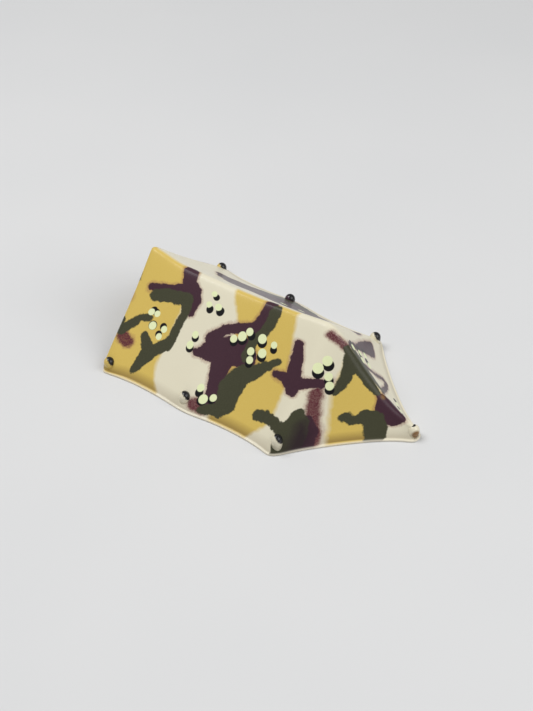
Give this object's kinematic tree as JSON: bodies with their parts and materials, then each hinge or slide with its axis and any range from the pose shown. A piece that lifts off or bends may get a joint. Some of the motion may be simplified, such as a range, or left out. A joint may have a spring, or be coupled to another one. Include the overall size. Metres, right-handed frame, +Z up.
{
  "type": "miniature toy tent",
  "caption": "Miniature moulded toy ridge tent in desert camouflage: hollow canopy with a closed front, sagging ridge, scalloped hem and pointed tail, held by round-topped pegs.",
  "frame": {"origin": "on the table, under the middle of the bounding box", "axes": "+X along the ridge from the closed front wall to the tip of the tail, +Y to the tent's left, +Z up"},
  "size_m": [0.0462, 0.0298, 0.014],
  "materials": {
    "camouflage_plastic": "glossy cream moulded plastic, sprayed and printed in tan, maroon-brown, olive green and pale pebble spots with black shadows",
    "peg_plastic": "glossy cream plastic pin with its round top printed glossy black, a little off register"
  },
  "bodies": {
    "root": {"canopy_shell": "camouflage_plastic", "peg_left_front": "peg_plastic", "peg_left_middle": "peg_plastic", "peg_left_rear": "peg_plastic", "peg_right_front": "peg_plastic", "peg_right_middle": "peg_plastic", "peg_right_rear": "peg_plastic", "peg_tip": "peg_plastic"}
  },
  "joints": []
}
